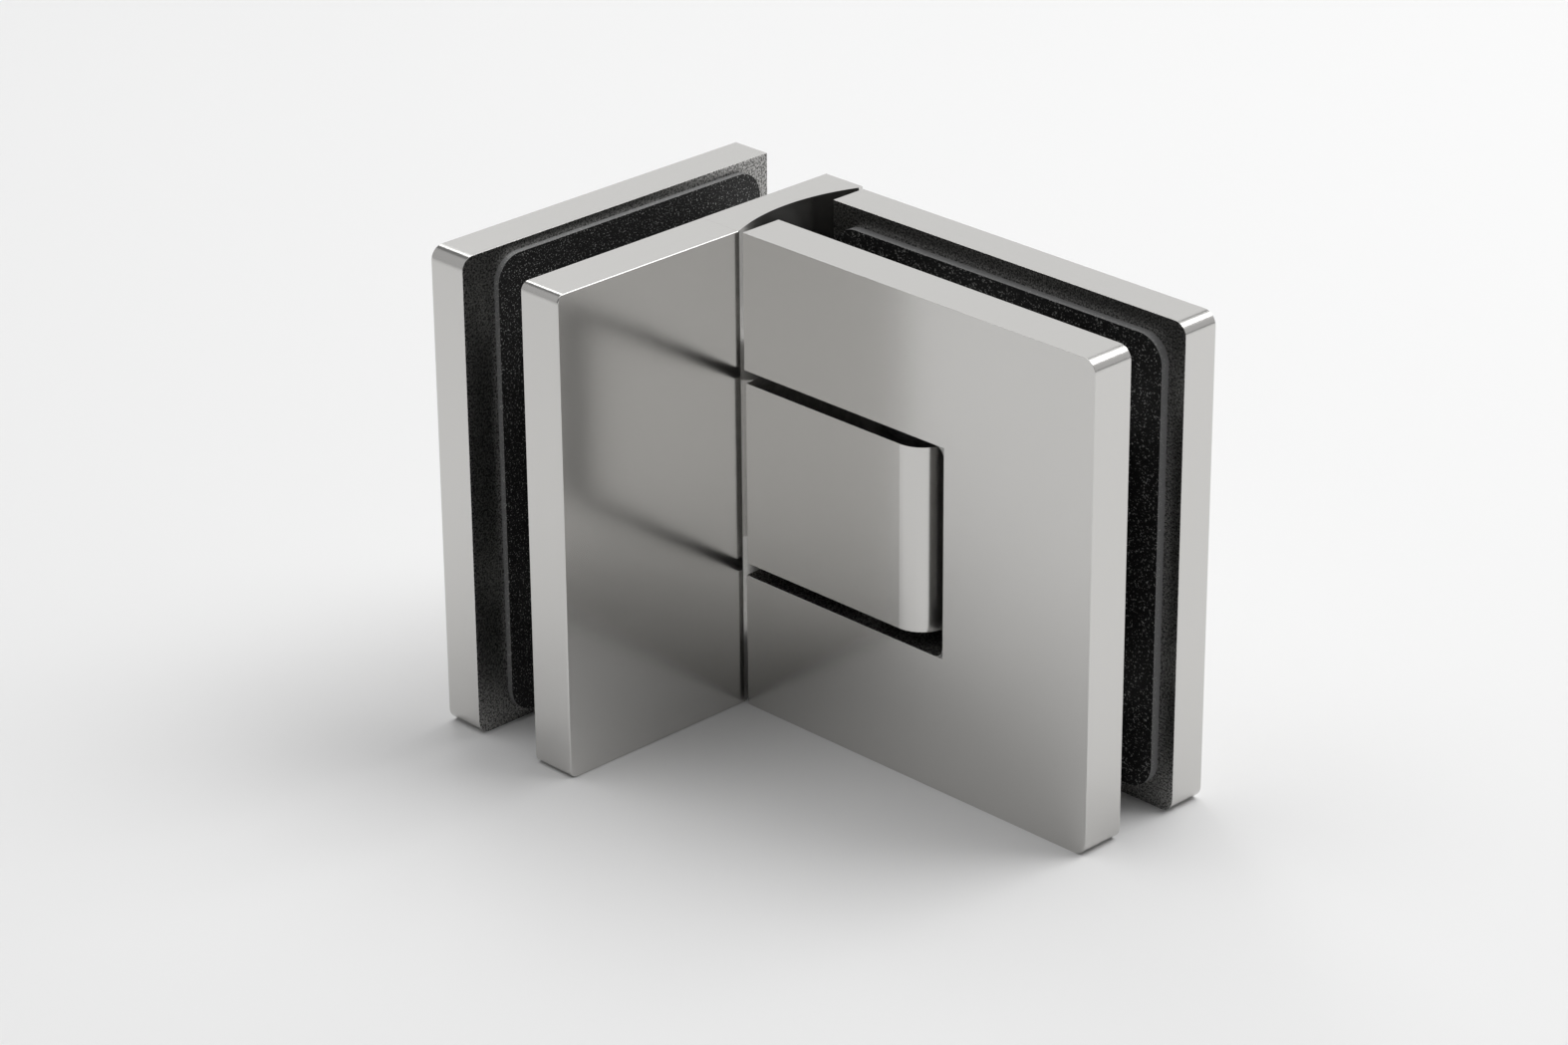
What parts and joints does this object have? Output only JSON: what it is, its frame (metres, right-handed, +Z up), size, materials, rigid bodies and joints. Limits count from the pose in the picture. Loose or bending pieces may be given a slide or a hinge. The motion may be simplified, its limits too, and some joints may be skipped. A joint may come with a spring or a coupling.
{
  "type": "glass door hinge",
  "caption": "Right-angle clamp hinge that joins a swinging glass door to a fixed glass panel, with a knuckle in the door leaf's notch.",
  "frame": {"origin": "middle of the hinge's base", "axes": "+X along the door leaf, away from the pivot's column; +Y through the door leaf from the inside of the corner to the outside; +Z up along the pivot axis"},
  "size_m": [0.1138, 0.0718, 0.09],
  "materials": {
    "mirror_metal": "polished, slightly soft reflections",
    "satin_metal": "machined, satin",
    "pin_steel": "ground",
    "screw_steel": "turned",
    "spring_steel": "drawn wire",
    "gasket_rubber": "matt, finely speckled",
    "bush_plastic": "moulded",
    "washer_plastic": "moulded",
    "sleeve_plastic": "moulded"
  },
  "bodies": {
    "fixed_leaf": {"fixed_inner_plate": "mirror_metal", "fixed_outer_plate": "mirror_metal", "hinge_column": "mirror_metal", "pivot_block": "mirror_metal", "upper_bush": "bush_plastic", "lower_bush": "bush_plastic", "detent_spring": "spring_steel", "preload_screw": "screw_steel", "block_screws": "screw_steel", "fixed_clamp_screws": "screw_steel", "fixed_screw_sleeves": "sleeve_plastic", "fixed_outer_gasket": "gasket_rubber", "fixed_inner_gasket": "gasket_rubber"},
    "door_leaf": {"door_inner_plate": "mirror_metal", "door_outer_plate": "mirror_metal", "pivot_pin": "pin_steel", "upper_pin_saddle": "satin_metal", "lower_pin_saddle": "satin_metal", "upper_thrust_washer": "washer_plastic", "lower_thrust_washer": "washer_plastic", "pin_lock_screws": "screw_steel", "saddle_screws": "screw_steel", "door_clamp_screws": "screw_steel", "door_screw_sleeves": "sleeve_plastic", "door_inner_gasket": "gasket_rubber", "door_outer_gasket": "gasket_rubber"},
    "detent_plunger": {"detent_plunger": "pin_steel"}
  },
  "joints": [
    {"name": "door_swing", "type": "hinge", "parent": "fixed_leaf", "child": "door_leaf", "pos_m": [0.00735, 0.02045, 0], "axis": [0, 0, 1], "range_deg": [-90, 90]},
    {"name": "detent_travel", "type": "slide", "parent": "fixed_leaf", "child": "detent_plunger", "axis": [1, 0, 0], "range_m": [0, 0.0005], "stiffness_N_per_m": 10000, "springref_m": 0.004, "deforming": ["detent_spring"]}
  ]
}
